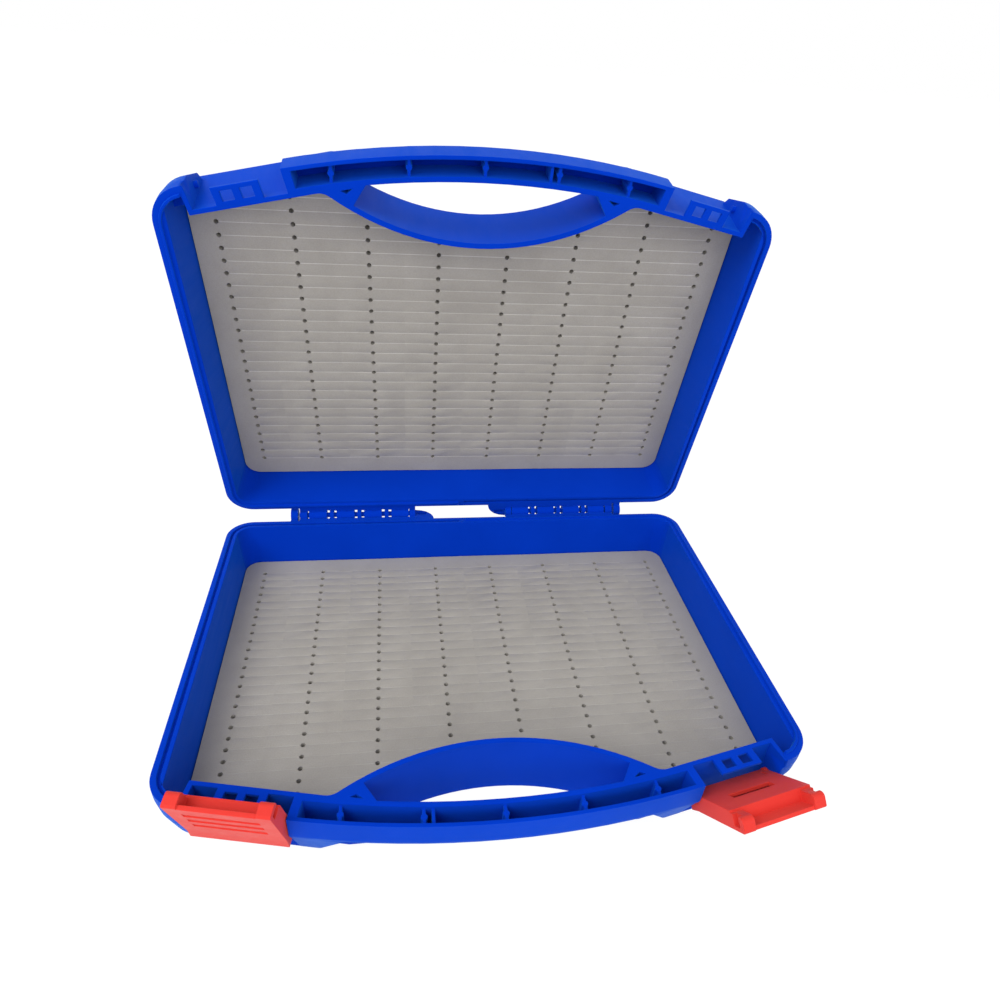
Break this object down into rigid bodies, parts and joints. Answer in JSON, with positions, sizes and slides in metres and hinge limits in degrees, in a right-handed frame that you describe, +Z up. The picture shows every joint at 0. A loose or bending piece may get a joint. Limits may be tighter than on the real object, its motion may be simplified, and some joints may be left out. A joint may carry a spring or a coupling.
{
  "type": "fly box",
  "caption": "Flat carrying case for fishing flies, open: hinged plastic halves with a curved grip, red swing latches and slit foam sheets.",
  "frame": {"origin": "centre of the flat underside of the lower half, on the ground", "axes": "+X to the right seen from the handle, along the hinge; +Y from the handle to the hinge; +Z up"},
  "size_m": [0.33, 0.3046, 0.2877],
  "materials": {
    "case_blue": "satin",
    "pin_blue": "satin",
    "latch_red": "satin",
    "foam_grey": "matte",
    "tape_dark": "matte"
  },
  "bodies": {
    "base": {"base_shell": "case_blue", "base_foam": "foam_grey", "base_foam_tape": "tape_dark", "left_hinge_pin": "pin_blue"},
    "lid": {"lid_shell": "case_blue", "lid_foam": "foam_grey", "lid_foam_tape": "tape_dark", "right_hinge_pin": "pin_blue"},
    "left_latch": {"left_latch": "latch_red"},
    "right_latch": {"right_latch": "latch_red"}
  },
  "joints": [
    {"name": "lid_hinge", "type": "hinge", "parent": "base", "child": "lid", "pos_m": [0, 0.118, 0.037], "axis": [-1, 0, 0], "range_deg": [-77.5, 102.5]},
    {"name": "left_latch_pivot", "type": "hinge", "parent": "base", "child": "left_latch", "pos_m": [-0.12212, -0.11373, 0.01875], "axis": [0.9772, -0.2122, 0], "range_deg": [-17.5, 82.5]},
    {"name": "right_latch_pivot", "type": "hinge", "parent": "base", "child": "right_latch", "pos_m": [0.12212, -0.11373, 0.01875], "axis": [0.9772, 0.2122, 0], "range_deg": [-50, 50]}
  ]
}
